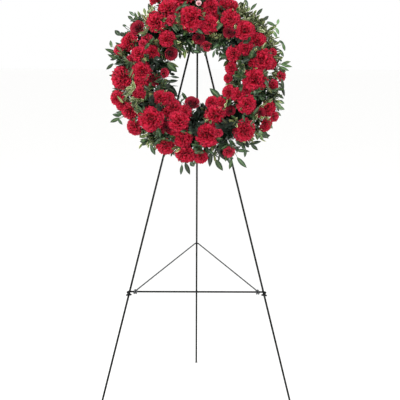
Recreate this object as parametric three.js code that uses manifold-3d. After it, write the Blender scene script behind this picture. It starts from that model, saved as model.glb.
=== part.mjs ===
// A standing funeral wreath: red carnations and cut greens pushed into a wet foam ring,
// which hangs on the face of a folding wire easel with three legs.
// Millimetres, +Z up, the viewer stands towards -Y. The origin is on the floor,
// under the middle of the whole thing.

import * as THREE from "three";
import { mergeVertices } from "three/addons/utils/BufferGeometryUtils.js";
import Module from "manifold-3d";

const wasm = await Module();
wasm.setup();

// The easel: a 54 inch wire easel, its legs measured along the line where they would meet
const PEAK_HEIGHT = 1318;
const FOOT_HALF_SPREAD = 330;
const FRONT_REACH = 190;
const BACK_REACH = 390;
const LEG_RADIUS = 3.4;
const BAR_RADIUS = 2.9;
const BRACE_RADIUS = 2.4;
const HOOK_RADIUS = 2;
const TIE_RADIUS = 0.7;
const EYE_HALF_SPREAD = 8;
const RIVET_RADIUS = 2.4;
const BAR_SHARE = 0.674;
const BRACE_RISE = 82;
const EYE_TURN = 1.35 * Math.PI;
const NECK_LENGTH = 22;
const CLEARANCE = 0.4;
const WIRE_SIDES = 8;
const FINE_WIRE_SIDES = 6;

// The foam ring: an 18 inch ring of wet floral foam in a plastic tray. Its middle hangs RING_DROP
// down the easel's face from the peak
const RING_DROP = 187;
const TRAY_OUTER = 229;
const TRAY_INNER = 149;
const TRAY_BACK = 3.4;
const TRAY_HEIGHT = 20;
const TRAY_WALL = 2.5;
const FOAM_FRONT = 58;
const FOAM_SLOPE = 14;
const FOAM_MIDDLE = (TRAY_OUTER + TRAY_INNER) / 2;
const RING_SEGMENTS = 40;

// The plants
const STEM_RADIUS = 2.2;
const STEM_END_HEIGHT = 30;
const STEM_SPREAD_SHARE = 0.3;
const CALYX_RADIUS = 7.5;
const CALYX_LENGTH = 15;
const CALYX_SHOULDER = 5;
const HEAD_SIDES = 10;
const TWIG_RADIUS = 1.6;
const TWIG_END_HEIGHT = 42;
const TWIG_END_OUTWARD = 18;
const LEAF_THICKNESS = 2.2;
const LEAF_SLENDERNESS = 0.36;
const LEAF_SPLAY = 0.85;
const LEAF_TWIST = 0.5;

// A carnation's head above its calyx: share of its radius, and height in radii from its widest place
const HEAD_OUTLINE = [[0.78, -0.23], [1, -0.02], [0.86, 0.28], [0.5, 0.46], [0, 0.5]];
const HEAD_BASE = 0.35;

// Leaves on a sprig: how far along the twig each stands, and on which side
const LEAF_PLACES = [[0.62, -1], [0.68, 1], [0.8, -1], [0.86, 1], [0.97, 0]];

// Carnations by eye from the front, on the easel's face, from the ring's middle:
// millimetres to the right, millimetres up, height off the face, width of the head
const CARNATIONS = [
  [-21, 175, 108, 75], [38, 158, 96, 56], [-95, 219, 78, 67], [-134, 172, 96, 64],
  [44, 222, 84, 54], [98, 232, 60, 54], [107, 180, 96, 58], [153, 143, 98, 62],
  [198, 112, 82, 54], [-94, 112, 92, 51], [-226, 111, 66, 56], [-185, 66, 92, 50],
  [-176, 10, 100, 60], [-253, -8, 70, 72], [-112, -72, 92, 50], [-72, -97, 76, 50],
  [-58, -146, 102, 64], [-150, -142, 96, 76], [-226, -117, 62, 55], [-208, -172, 62, 52],
  [-48, -204, 90, 60], [-106, -235, 66, 57], [-40, -262, 68, 60], [55, -121, 84, 64],
  [33, -193, 100, 73], [155, -181, 88, 69], [157, -93, 98, 58], [186, -14, 98, 73],
  [212, 52, 88, 70], [113, 66, 88, 50], [236, -108, 62, 54], [228, -160, 52, 47],
  [-38, 262, 62, 60], [22, 272, 56, 52], [76, 274, 54, 46], [-134, 254, 54, 50],
];

// Cut sprigs round the rim: clock angle in degrees from the right, length, height at the tip
const SPRIGS = [
  [9, 88, 42], [33, 92, 38], [58, 84, 36], [80, 90, 27], [105, 90, 27], [139, 82, 34],
  [164, 78, 36], [197, 66, 34], [231, 84, 34], [270, 88, 28], [291, 88, 40], [316, 88, 30],
];

// A paint finish for the mesh, read from the photograph
function finish(color, roughness, metalness = 0) {
  return new THREE.MeshStandardMaterial({ color, roughness, metalness });
}

const blackWire = finish(0x3b3d3e, 0.42, 0.6);
const greyWire = finish(0x8f9192, 0.4, 0.8);
const tieWire = finish(0x2f4a33, 0.5, 0.5);
const trayPlastic = finish(0x1f3a2a, 0.5);
const wetFoam = finish(0x2f5139, 0.95);
const redPetal = finish(0xc3122f, 0.7);
const leafGreen = finish(0x35552f, 0.5);

// A path that steps through a list of points, so that a straight stretch takes one step
class WirePath extends THREE.Curve {
  constructor(points) {
    super();
    this.points = points;
  }

  getPointAt(share) {
    return this.points[Math.round(share * (this.points.length - 1))].clone();
  }

  getTangentAt(share) {
    const last = this.points.length - 1;
    const step = Math.round(share * last);
    const before = this.points[Math.max(0, step - 1)];
    const after = this.points[Math.min(last, step + 1)];
    return after.clone().sub(before).normalize();
  }
}

function polygon(radius, sides) {
  const corners = [];
  for (let i = 0; i < sides; i++) {
    const turn = (2 * Math.PI * (i + 0.5)) / sides;
    corners.push(new THREE.Vector2(radius * Math.cos(turn), radius * Math.sin(turn)));
  }
  return new THREE.Shape(corners);
}

// A round wire along a list of points
function wire(points, radius, sides = WIRE_SIDES) {
  return new THREE.ExtrudeGeometry(polygon(radius, sides), {
    steps: points.length - 1,
    extrudePath: new WirePath(points),
  });
}

// The same corners with each inner one rounded to an arc
function roundedCorners(corners, bend, steps = 5) {
  const points = [corners[0]];
  for (let i = 1; i < corners.length - 1; i++) {
    const start = corners[i].clone().lerp(corners[i - 1], bend / corners[i].distanceTo(corners[i - 1]));
    const end = corners[i].clone().lerp(corners[i + 1], bend / corners[i].distanceTo(corners[i + 1]));
    const arc = new THREE.QuadraticBezierCurve3(start, corners[i], end);
    points.push(...arc.getPoints(steps));
  }
  points.push(corners[corners.length - 1]);
  return points;
}

function meshOf(name, geometry, material) {
  const mesh = new THREE.Mesh(geometry, material);
  mesh.name = name;
  return mesh;
}

// A closed geometry as a solid, and back
function solidOf(geometry) {
  const bare = geometry.clone();
  bare.deleteAttribute("normal");
  bare.deleteAttribute("uv");
  const merged = mergeVertices(bare, 1e-4);
  return new wasm.Manifold(new wasm.Mesh({
    numProp: 3,
    vertProperties: new Float32Array(merged.attributes.position.array),
    triVerts: new Uint32Array(merged.index.array),
  }));
}

function geometryOf(solid) {
  const { vertProperties, triVerts } = solid.getMesh();
  const geometry = new THREE.BufferGeometry();
  geometry.setAttribute("position", new THREE.BufferAttribute(new Float32Array(vertProperties), 3));
  geometry.setIndex(new THREE.BufferAttribute(new Uint32Array(triVerts), 1));
  geometry.computeVertexNormals();
  return geometry;
}

// The easel's face is the leaning plane of its two front legs. Down it from the peak:
const FACE_LENGTH = Math.hypot(PEAK_HEIGHT, FRONT_REACH);
const LEAN = Math.atan2(FRONT_REACH, PEAK_HEIGHT);
const SPLAY = FOOT_HALF_SPREAD / FACE_LENGTH;

// A point right of the middle, a distance down from the peak, and off the face to the front
function onFace(right, down, off = 0) {
  return new THREE.Vector3(
    right,
    -down * Math.sin(LEAN) - off * Math.cos(LEAN),
    PEAK_HEIGHT - down * Math.cos(LEAN) + off * Math.sin(LEAN),
  );
}

const EYE_RADIUS = RIVET_RADIUS + CLEARANCE + LEG_RADIUS;
const PIN_DOWN = EYE_HALF_SPREAD / SPLAY;
const PIN = onFace(0, PIN_DOWN, -EYE_RADIUS);
const BAR_DOWN = BAR_SHARE * FACE_LENGTH;
const BAR_BEHIND = LEG_RADIUS + CLEARANCE + BAR_RADIUS;
const BAR = onFace(0, BAR_DOWN, -BAR_BEHIND);
const BACKWARD = 1;
const FORWARD = -1;
const ACROSS_THE_EASEL = new THREE.Vector3(1, 0, 0);

// A leg's straight run seen from the side: it leaves its eye at a tangent, on the back or the front
function legRun(foot, exitSide) {
  const down = new THREE.Vector3(0, foot.y - PIN.y, foot.z - PIN.z);
  const reach = down.length();
  down.normalize().applyAxisAngle(ACROSS_THE_EASEL, -exitSide * Math.asin(EYE_RADIUS / reach));
  const across = new THREE.Vector3(0, -down.z, down.y).multiplyScalar(exitSide);
  return { down, across, reach, exit: PIN.clone().addScaledVector(across, EYE_RADIUS) };
}

// A leg wire: an open eye round the rivet, then straight to the floor, where it is cut level
function legGeometry(eyeX, foot, exitSide) {
  const { down, across, reach } = legRun(foot, exitSide);
  const points = [];
  const eyeSteps = 9;
  for (let i = 0; i <= eyeSteps; i++) {
    const turn = EYE_TURN * (1 - i / eyeSteps);
    points.push(PIN.clone()
      .addScaledVector(across, EYE_RADIUS * Math.cos(turn))
      .addScaledVector(down, -EYE_RADIUS * Math.sin(turn))
      .setX(eyeX));
  }
  const neck = points[eyeSteps].clone().addScaledVector(down, NECK_LENGTH);
  neck.x = eyeX + (foot.x - eyeX) * (NECK_LENGTH / reach);
  points.push(neck, foot);
  const geometry = wire(points, LEG_RADIUS);
  const run = foot.clone().sub(neck).normalize();
  const footEndTop = 4 * LEG_RADIUS;
  const position = geometry.attributes.position;
  for (let i = 0; i < position.count; i++) {
    if (position.getZ(i) < footEndTop) {
      const slide = -position.getZ(i) / run.z;
      position.setXYZ(i, position.getX(i) + run.x * slide, position.getY(i) + run.y * slide, 0);
    }
  }
  return geometry;
}

function frontLeg(side) {
  const foot = onFace(side * FOOT_HALF_SPREAD, FACE_LENGTH);
  return meshOf(side < 0 ? "front_leg_left" : "front_leg_right",
    legGeometry(side * EYE_HALF_SPREAD, foot, FORWARD), blackWire);
}

const BACK_FOOT = new THREE.Vector3(0, BACK_REACH, 0);

function backLeg() {
  return meshOf("back_leg", legGeometry(0, BACK_FOOT, BACKWARD), blackWire);
}

// The rivet through the eyes of the three legs and of the ring's hook
function apexRivet() {
  const half = 2 * EYE_HALF_SPREAD + HOOK_RADIUS + CLEARANCE;
  const head = 2 * RIVET_RADIUS;
  const crown = half + 2;
  const shoulder = half + 1.6;
  const shoulderRadius = 0.7 * head;
  const sides = 12;
  const profile = [
    [0, -crown], [shoulderRadius, -shoulder], [head, -half], [RIVET_RADIUS, -half],
    [RIVET_RADIUS, half], [head, half], [shoulderRadius, shoulder], [0, crown],
  ].map(([r, x]) => new THREE.Vector2(r, x));
  const geometry = new THREE.LatheGeometry(profile, sides);
  geometry.rotateZ(Math.PI / 2);
  const mesh = meshOf("apex_rivet", geometry, greyWire);
  mesh.position.copy(PIN);
  return mesh;
}

// The crossbar runs behind the front legs, and each end is wound once and a bit round its leg
function crossbar() {
  const windSteps = 15;
  const windTurn = 2.5 * Math.PI;
  const advance = BAR_BEHIND * SPLAY;
  const ends = [-1, 1].map((side) => {
    const legDown = onFace(side * SPLAY, 1).sub(onFace(0, 0)).normalize();
    const back = onFace(0, 0, -1).sub(onFace(0, 0));
    const outward = new THREE.Vector3().crossVectors(back, legDown).multiplyScalar(-side).normalize();
    const centre = onFace(side * SPLAY * BAR_DOWN, BAR_DOWN);
    const winding = [];
    for (let i = 0; i <= windSteps; i++) {
      const turn = (windTurn * i) / windSteps;
      winding.push(centre.clone()
        .addScaledVector(back, BAR_BEHIND * Math.cos(turn))
        .addScaledVector(outward, BAR_BEHIND * Math.sin(turn))
        .addScaledVector(legDown, advance * turn));
    }
    return winding;
  });
  return meshOf("crossbar", wire([...ends[0].reverse(), ...ends[1]], BAR_RADIUS), blackWire);
}

// The brace is one thin wire bent to a V: its nose lies behind the back leg, and its two ends
// are coiled loosely round the crossbar, on which it swings when the easel folds
const NOSE_HEIGHT = BAR.z + BRACE_RISE;
const BACK_LEG_TOP = legRun(BACK_FOOT, BACKWARD).exit;
const NOSE_ON_LEG = BACK_LEG_TOP.clone().lerp(BACK_FOOT, (BACK_LEG_TOP.z - NOSE_HEIGHT) / BACK_LEG_TOP.z);
const BRACE_RUN = NOSE_ON_LEG.clone().sub(BAR).setX(0);
const COIL_PLAY = 1.6;
const COIL_GAP = 1.4;
const COIL_INSET = 24;
const COIL_RADIUS = BAR_RADIUS + BRACE_RADIUS + COIL_PLAY;
const COIL_PITCH = 2 * BRACE_RADIUS + COIL_GAP;
const COIL_INNER_X = SPLAY * BAR_DOWN - COIL_INSET;

function foldingBrace() {
  const run = BRACE_RUN.clone().normalize();
  const lift = new THREE.Vector3(0, -run.z, run.y);
  const noseRadius = LEG_RADIUS + CLEARANCE + BRACE_RADIUS;
  const coilSteps = 18;
  const coilTurn = 3.5 * Math.PI;
  const half = [];
  for (let i = 0; i <= coilSteps; i++) {
    const turn = coilTurn * (1 - i / coilSteps);
    half.push(BAR.clone()
      .addScaledVector(run, -COIL_RADIUS * Math.sin(turn))
      .addScaledVector(lift, COIL_RADIUS * Math.cos(turn))
      .setX(COIL_INNER_X + (COIL_PITCH * turn) / (2 * Math.PI)));
  }
  const slant = Math.atan2(COIL_INNER_X - noseRadius, BRACE_RUN.length());
  const noseLift = 0.2 * COIL_RADIUS;
  const noseSteps = 4;
  for (let i = 0; i <= noseSteps; i++) {
    const turn = slant + (Math.PI / 2 - slant) * (i / noseSteps);
    half.push(NOSE_ON_LEG.clone()
      .addScaledVector(run, noseRadius * Math.sin(turn))
      .addScaledVector(lift, noseLift * (1 - i / noseSteps))
      .setX(noseRadius * Math.cos(turn)));
  }
  const other = half.slice(0, -1).reverse().map((p) => new THREE.Vector3(-p.x, p.y, p.z));
  return meshOf("folding_brace", wire([...half, ...other], BRACE_RADIUS), greyWire);
}

// Everything on the ring is placed on the easel's face: x right, y up the face, z off it,
// from the ring's middle
const face = new THREE.Group();
face.position.copy(onFace(0, RING_DROP));
face.rotation.x = Math.PI / 2 - LEAN;

// The hook is one wire: an eye on each end of the rivet, up behind the tray, and over its rim
function ringHook() {
  const x = 2 * EYE_HALF_SPREAD;
  const pinY = RING_DROP - PIN_DOWN;
  const eye = RIVET_RADIUS + CLEARANCE + HOOK_RADIUS;
  const behind = -EYE_RADIUS - eye;
  const rim = TRAY_OUTER + CLEARANCE + HOOK_RADIUS;
  const front = TRAY_BACK + TRAY_HEIGHT + 8;
  const straightStart = pinY + 10;
  const lipSag = 1;
  const bend = 6;
  const half = [];
  const eyeSteps = 8;
  for (let i = 0; i <= eyeSteps; i++) {
    const turn = 1.4 * Math.PI * (1 - i / eyeSteps);
    half.push(new THREE.Vector3(x, pinY + eye * Math.sin(turn), -EYE_RADIUS - eye * Math.cos(turn)));
  }
  const bends = roundedCorners([
    new THREE.Vector3(x, straightStart, behind), new THREE.Vector3(x, rim, behind),
    new THREE.Vector3(x, rim, front), new THREE.Vector3(0, rim - lipSag, front),
  ], bend);
  half.push(...bends);
  const other = half.slice(0, -1).reverse().map((p) => new THREE.Vector3(-p.x, p.y, p.z));
  return meshOf("ring_hook", wire([...half, ...other], HOOK_RADIUS), blackWire);
}

// A ring turned about the face's normal from an outline of radius and height
function turnedRing(outline) {
  const profile = outline.map(([radius, height]) => new THREE.Vector2(radius, height));
  const geometry = new THREE.LatheGeometry(profile, RING_SEGMENTS);
  geometry.rotateX(Math.PI / 2);
  return geometry;
}

function ringTray() {
  const back = TRAY_BACK;
  const top = TRAY_BACK + TRAY_HEIGHT;
  return meshOf("ring_tray", turnedRing([
    [TRAY_INNER, back], [TRAY_OUTER, back], [TRAY_OUTER, top], [TRAY_OUTER - TRAY_WALL, top],
    [TRAY_OUTER - TRAY_WALL, back + TRAY_WALL], [TRAY_INNER + TRAY_WALL, back + TRAY_WALL],
    [TRAY_INNER + TRAY_WALL, top], [TRAY_INNER, top], [TRAY_INNER, back],
  ]), trayPlastic);
}

// Flowers lean out from the foam's middle line: the stem's end in the foam, and its way out
function stemEnd(x, y) {
  const radius = Math.hypot(x, y);
  const rooted = FOAM_MIDDLE + (radius - FOAM_MIDDLE) * STEM_SPREAD_SHARE;
  return new THREE.Vector3((x / radius) * rooted, (y / radius) * rooted, STEM_END_HEIGHT);
}

const UP_THE_STEM = new THREE.Vector3(0, 1, 0);

// The foam with a hole for each stem, and its outer edges cut to a slope
function foamRing(stems) {
  const inner = TRAY_INNER + TRAY_WALL + CLEARANCE;
  const outer = TRAY_OUTER - TRAY_WALL - CLEARANCE;
  const back = TRAY_BACK + TRAY_WALL + CLEARANCE;
  const edge = FOAM_FRONT - FOAM_SLOPE;
  let foam = solidOf(turnedRing([
    [inner, back], [outer, back], [outer, edge], [outer - FOAM_SLOPE, FOAM_FRONT],
    [inner + FOAM_SLOPE, FOAM_FRONT], [inner, edge], [inner, back],
  ]));
  const holeLength = 90;
  const underTheStem = 1;
  for (const { end, direction, radius } of stems) {
    const bore = radius + CLEARANCE;
    const hole = new THREE.CylinderGeometry(bore, bore, holeLength, WIRE_SIDES);
    hole.translate(0, holeLength / 2 - underTheStem, 0);
    hole.applyQuaternion(new THREE.Quaternion().setFromUnitVectors(UP_THE_STEM, direction));
    hole.translate(...end.toArray());
    foam = foam.subtract(solidOf(hole));
  }
  return meshOf("foam_ring", geometryOf(foam), wetFoam);
}

// A wire tie round the tray and the foam and the front leg behind them
function tieWireLoop(side) {
  const tieBelowMiddle = 170;
  const legX = SPLAY * (RING_DROP + tieBelowMiddle);
  const turn = Math.atan2(tieBelowMiddle, legX);
  const inner = TRAY_INNER - CLEARANCE - TIE_RADIUS;
  const outer = TRAY_OUTER + CLEARANCE + TIE_RADIUS;
  const behind = -LEG_RADIUS - CLEARANCE - TIE_RADIUS;
  const front = FOAM_FRONT + CLEARANCE + TIE_RADIUS;
  const edge = front - 4;
  const firstEnd = inner + 36;
  const secondEnd = inner + 40;
  const corners = [
    [firstEnd, behind], [inner, behind], [inner, edge], [inner + FOAM_SLOPE, front],
    [outer - FOAM_SLOPE, front], [outer, edge], [outer, behind], [secondEnd, behind],
  ].map(([radius, off]) => new THREE.Vector3(radius, 0, off));
  const bend = 2;
  const bendSteps = 3;
  const geometry = wire(roundedCorners(corners, bend, bendSteps), TIE_RADIUS, FINE_WIRE_SIDES);
  geometry.rotateZ(side < 0 ? turn - Math.PI : -turn);
  return meshOf(side < 0 ? "tie_wire_left" : "tie_wire_right", geometry, tieWire);
}

// A carnation: cut stem, calyx, and the full ruffled head, turned about its stem
function carnationGeometry(length, width) {
  const radius = width / 2;
  const calyxTop = length - radius * HEAD_BASE;
  const calyxFoot = calyxTop - CALYX_LENGTH;
  const profile = [
    [0, 0], [STEM_RADIUS, 0], [STEM_RADIUS, calyxFoot], [CALYX_RADIUS, calyxFoot + CALYX_SHOULDER],
    [CALYX_RADIUS, calyxTop - CALYX_SHOULDER],
    ...HEAD_OUTLINE.map(([share, height]) => [radius * share, length + radius * height]),
  ].map(([r, y]) => new THREE.Vector2(r, y));
  return new THREE.LatheGeometry(profile, HEAD_SIDES);
}

function nameOf(kind, index) {
  return `${kind}_${String(index + 1).padStart(2, "0")}`;
}

function carnation(index, x, y, off, width) {
  const end = stemEnd(x, y);
  const head = new THREE.Vector3(x, y, off);
  const direction = head.clone().sub(end).normalize();
  const geometry = carnationGeometry(head.distanceTo(end), width);
  const mesh = meshOf(nameOf("carnation", index), geometry, redPetal);
  mesh.quaternion.setFromUnitVectors(UP_THE_STEM, direction);
  mesh.position.copy(end);
  return { mesh, stem: { end, direction, radius: STEM_RADIUS } };
}

// One leaf blade: a thin pointed lens, its stalk end a little inside the twig
function leafBlade(length) {
  const acrossSteps = 6;
  const alongSteps = 3;
  const stalkSink = 0.04 * length;
  const blade = new THREE.SphereGeometry(1, acrossSteps, alongSteps);
  blade.scale((length * LEAF_SLENDERNESS) / 2, length / 2, LEAF_THICKNESS / 2);
  blade.translate(0, length / 2 - stalkSink, 0);
  return blade;
}

// A sprig: a woody twig pushed into the foam's outer side, with leaves in pairs and one at its end
function sprig(index, clock, length, tipHeight) {
  const angle = THREE.MathUtils.degToRad(clock);
  const outward = new THREE.Vector3(Math.cos(angle), Math.sin(angle), 0);
  const twigShare = 0.62;
  const end = outward.clone().multiplyScalar(FOAM_MIDDLE + TWIG_END_OUTWARD).setZ(TWIG_END_HEIGHT);
  const tip = outward.clone().multiplyScalar(TRAY_OUTER + length * twigShare).setZ(tipHeight);
  const direction = tip.clone().sub(end).normalize();
  const twigLength = tip.distanceTo(end);
  const twigTipRadius = 0.7 * TWIG_RADIUS;
  const twig = new THREE.CylinderGeometry(twigTipRadius, TWIG_RADIUS, twigLength, FINE_WIRE_SIDES);
  twig.translate(0, twigLength / 2, 0);
  let solid = solidOf(twig);
  for (const [share, side] of LEAF_PLACES) {
    const blade = leafBlade(length / 2);
    blade.rotateY(side * LEAF_TWIST);
    blade.rotateZ(-side * LEAF_SPLAY);
    blade.translate(0, twigLength * share, 0);
    solid = solid.add(solidOf(blade));
  }
  const mesh = meshOf(nameOf("sprig", index), geometryOf(solid), leafGreen);
  mesh.quaternion.setFromUnitVectors(UP_THE_STEM, direction);
  mesh.position.copy(end);
  return { mesh, stem: { end, direction, radius: TWIG_RADIUS } };
}

const plants = [
  ...CARNATIONS.map((row, index) => carnation(index, ...row)),
  ...SPRIGS.map((row, index) => sprig(index, ...row)),
];

face.add(
  ringHook(), ringTray(), foamRing(plants.map((plant) => plant.stem)),
  tieWireLoop(-1), tieWireLoop(1), ...plants.map((plant) => plant.mesh),
);

const wreath = new THREE.Group();
wreath.add(frontLeg(-1), frontLeg(1), backLeg(), apexRivet(), crossbar(), foldingBrace(), face);

// Stand the origin under the middle of the whole thing
wreath.updateMatrixWorld(true);
const middle = new THREE.Box3().setFromObject(wreath, true).getCenter(new THREE.Vector3());
wreath.position.set(-middle.x, -middle.y, 0);

export default wreath;
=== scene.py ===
import math
import random

import bmesh
import bpy
from mathutils import Matrix, Vector


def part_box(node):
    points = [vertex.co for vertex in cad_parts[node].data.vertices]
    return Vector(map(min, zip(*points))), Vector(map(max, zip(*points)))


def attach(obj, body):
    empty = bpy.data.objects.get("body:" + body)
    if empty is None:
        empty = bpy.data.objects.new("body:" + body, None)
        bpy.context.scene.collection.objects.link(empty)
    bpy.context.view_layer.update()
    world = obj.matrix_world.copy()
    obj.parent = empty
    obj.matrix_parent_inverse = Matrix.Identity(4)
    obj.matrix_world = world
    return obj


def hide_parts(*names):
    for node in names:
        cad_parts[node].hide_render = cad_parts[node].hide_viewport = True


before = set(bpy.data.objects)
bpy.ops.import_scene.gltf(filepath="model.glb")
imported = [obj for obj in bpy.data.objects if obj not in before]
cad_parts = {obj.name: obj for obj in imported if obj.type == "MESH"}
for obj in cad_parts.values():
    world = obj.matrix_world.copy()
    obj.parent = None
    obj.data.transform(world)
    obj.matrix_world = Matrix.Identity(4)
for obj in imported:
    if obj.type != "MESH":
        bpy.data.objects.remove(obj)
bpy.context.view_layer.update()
scene = bpy.context.scene

# Camera: level with the easel's peak, tipped down ten degrees and rolled a fifth of a degree, as
# the photograph looks at the wreath. The wreath stands a little left of the frame's middle.
FRAME_PIXELS = 400
SENSOR = 36.0
FOCAL_PIXELS = 955
LEFT_OF_MIDDLE_PIXELS = 2.6
CAMERA_PLACE = (0.0, -3.30, 1.282)
CAMERA_PITCH = 80
CAMERA_ROLL = -0.2
camera_data = bpy.data.cameras.new("camera")
camera_data.sensor_width = SENSOR
camera_data.lens = FOCAL_PIXELS * SENSOR / FRAME_PIXELS
camera_data.shift_x = LEFT_OF_MIDDLE_PIXELS / FRAME_PIXELS
camera = bpy.data.objects.new("camera", camera_data)
camera.location = CAMERA_PLACE
camera.rotation_euler = (math.radians(CAMERA_PITCH), math.radians(CAMERA_ROLL), 0.0)
scene.collection.objects.link(camera)
scene.camera = camera
scene.view_settings.view_transform = "Standard"


def linear(code):
    """An sRGB hex code as a linear RGBA colour."""
    channels = [int(code[i:i + 2], 16) / 255 for i in (0, 2, 4)]
    return [c / 12.92 if c <= 0.04045 else ((c + 0.055) / 1.055) ** 2.4 for c in channels] + [1.0]


def node(tree, kind, settings=None, **links):
    """Adds a node, sets its values and sockets, and links the sockets named."""
    made = tree.nodes.new(kind)
    for key, value in (settings or {}).items():
        if isinstance(key, str) and hasattr(made, key):
            setattr(made, key, value)
        else:
            made.inputs[key].default_value = value
    for socket, source in links.items():
        tree.links.new(source, made.inputs[socket.replace("_", " ")])
    return made


def material(name, settings):
    """A new material with one Principled shader, and the tree to add to."""
    made = bpy.data.materials.new(name)
    made.use_nodes = True
    shader = made.node_tree.nodes["Principled BSDF"]
    for key, value in settings.items():
        shader.inputs[key].default_value = value
    return made, made.node_tree, shader


def mesh_of(shape, name):
    """The mesh of a finished bmesh."""
    mesh = bpy.data.meshes.new(name)
    shape.to_mesh(mesh)
    shape.free()
    return mesh


# Floor: the pale seamless floor of a studio. It is matt, so only soft shadows show on it.
FLOOR_HALF_WIDTH = 30
floor_sheet = bmesh.new()
bmesh.ops.create_grid(floor_sheet, x_segments=1, y_segments=1, size=FLOOR_HALF_WIDTH)
floor_mesh = mesh_of(floor_sheet, "floor")
floor = bpy.data.objects.new("floor", floor_mesh)
scene.collection.objects.link(floor)
floor_paint, _, _ = material("pale studio floor", {"Base Color": linear("FDFDFC"), "Roughness": 0.9})
floor_mesh.materials.append(floor_paint)

# Light: a bright white room, a large soft lamp high on the left in front, and a weak one on the
# right, so that the flowers have a lit side and the wires stay dark.
world = bpy.data.worlds.new("white room")
scene.world = world
world.use_nodes = True
world.node_tree.nodes["Background"].inputs["Color"].default_value = (1, 1, 1, 1)
world.node_tree.nodes["Background"].inputs["Strength"].default_value = 1.0


def softbox(name, place, target, size, power):
    """A square lamp that faces a target."""
    lamp = bpy.data.lights.new(name, "AREA")
    lamp.shape = "SQUARE"
    lamp.size = size
    lamp.energy = power
    holder = bpy.data.objects.new(name, lamp)
    holder.location = place
    holder.rotation_euler = (Vector(target) - Vector(place)).to_track_quat("-Z", "Y").to_euler()
    scene.collection.objects.link(holder)


softbox("key lamp", place=(-1.9, -2.6, 3.0), target=(0, 0, 1.0), size=1.4, power=70)
softbox("fill lamp", place=(2.4, -2.2, 1.6), target=(0, 0, 1.0), size=1.6, power=10)


def mottled(name, settings, texture, output, pattern, tones, ends=(0.0, 1.0), bump=None):
    """A material whose colour runs between two tones over a pattern that is fixed to the piece.
    The pattern is a texture node, one of its outputs and its settings, and bump is its strength
    and height in metres."""
    made, tree, shader = material(name, settings)
    place = node(tree, "ShaderNodeTexCoord").outputs["Object"]
    drawn = node(tree, texture, pattern, Vector=place).outputs[output]
    tone = node(tree, "ShaderNodeValToRGB", Fac=drawn)
    for element, colour, position in zip(tone.color_ramp.elements, tones, ends):
        element.color = linear(colour)
        element.position = position
    tree.links.new(tone.outputs["Color"], shader.inputs["Base Color"])
    if bump:
        skin = node(tree, "ShaderNodeBump", {"Strength": bump[0], "Distance": bump[1]}, Height=drawn)
        tree.links.new(skin.outputs["Normal"], shader.inputs["Normal"])
    return made


# Easel wires: drawn steel rod, bent and then dipped in charcoal paint. The legs, crossbar and hook
# keep their CAD shape. The paint is nearly black and hardly shines, and where hands have rubbed it,
# every 14 mm or so, it is a little lighter.
RUBS_PER_METRE = 70.0
easel_paint = mottled(
    "charcoal dipped paint on steel rod",
    {"Base Color": linear("101112"), "Roughness": 0.6, "Specular IOR Level": 0.15},
    "ShaderNodeTexNoise", "Fac", {"Scale": RUBS_PER_METRE, "Detail": 3.0}, ("0A0B0C", "1C1E20"), (0.35, 0.75))

# Brace and rivet: weathered galvanised steel, a bent wire and a pin with two formed heads. The zinc
# is greyer than the painted wires and has a soft metal shine, with spangles of about 4 mm.
SPANGLES_PER_METRE = 240.0
bright_steel = mottled(
    "galvanised steel wire",
    {"Base Color": linear("4E5052"), "Roughness": 0.42, "Metallic": 0.8},
    "ShaderNodeTexNoise", "Fac", {"Scale": SPANGLES_PER_METRE, "Detail": 2.0}, ("3E4042", "606264"))

# Tie wires: soft iron wire, lacquered green, as florists bind with. Each is a loop round the tray,
# the foam and a leg. The lacquer shines a little, and its green is worn in spots 6 mm apart.
WORN_SPOTS_PER_METRE = 160.0
tie_lacquer = mottled(
    "green lacquered binding wire",
    {"Base Color": linear("2F4A33"), "Roughness": 0.4, "Metallic": 0.3},
    "ShaderNodeTexNoise", "Fac", {"Scale": WORN_SPOTS_PER_METRE}, ("26402B", "3D5C42"))

# Foam: soaked phenolic flower foam, moulded as a ring and pressed into the tray. It is dark with
# water and matt, and its open, crumbly cells are drawn 2.4 mm wide, coarser than real, to show.
CELLS_PER_METRE = 420.0
wet_foam = mottled(
    "soaked flower foam",
    {"Base Color": linear("14281B"), "Roughness": 0.9, "Specular IOR Level": 0.15},
    "ShaderNodeTexVoronoi", "Distance", {"Scale": CELLS_PER_METRE}, ("0A160F", "182E20"), bump=(0.5, 0.001))

CAD_FINISHES = {
    easel_paint: ["front_leg_left", "front_leg_right", "back_leg", "crossbar", "ring_hook"],
    bright_steel: ["apex_rivet", "folding_brace"],
    tie_lacquer: ["tie_wire_left", "tie_wire_right"],
    wet_foam: ["foam_ring"],
}
for finish, names in CAD_FINISHES.items():
    for name in names:
        for material_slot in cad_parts[name].material_slots:
            material_slot.material = finish

# The wreath's own place: it leans as the easel's front does, whose feet stand forward of its peak.
# Its zero is at the ring's middle, a little behind the middle of the tray. The foam's radius is that
# of the middle of its band.
FEET_FORWARD, PEAK_HEIGHT = 190, 1318
LEAN = math.atan2(FEET_FORWARD, PEAK_HEIGHT)
TRAY_MIDDLE_HEIGHT = 0.0134
tray_low, tray_high = (Vector(corner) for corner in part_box("ring_tray"))
face_turn = Matrix.Rotation(math.pi / 2 - LEAN, 4, "X")
face_out = face_turn @ Vector((0, 0, 1))
FACE = Matrix.Translation((tray_low + tray_high) / 2 - face_out * TRAY_MIDDLE_HEIGHT) @ face_turn
FOAM_RADIUS = 0.189
FULL_TURN = 2 * math.pi


def aim(place, direction, roll=0.0, size=1.0):
    """A matrix that stands a shape's Z along a direction, turned about it, at a place."""
    turn = Vector(direction).to_track_quat("Z", "Y").to_matrix().to_4x4()
    return Matrix.Translation(place) @ turn @ Matrix.Rotation(roll, 4, "Z") @ Matrix.Scale(size, 4)


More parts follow.
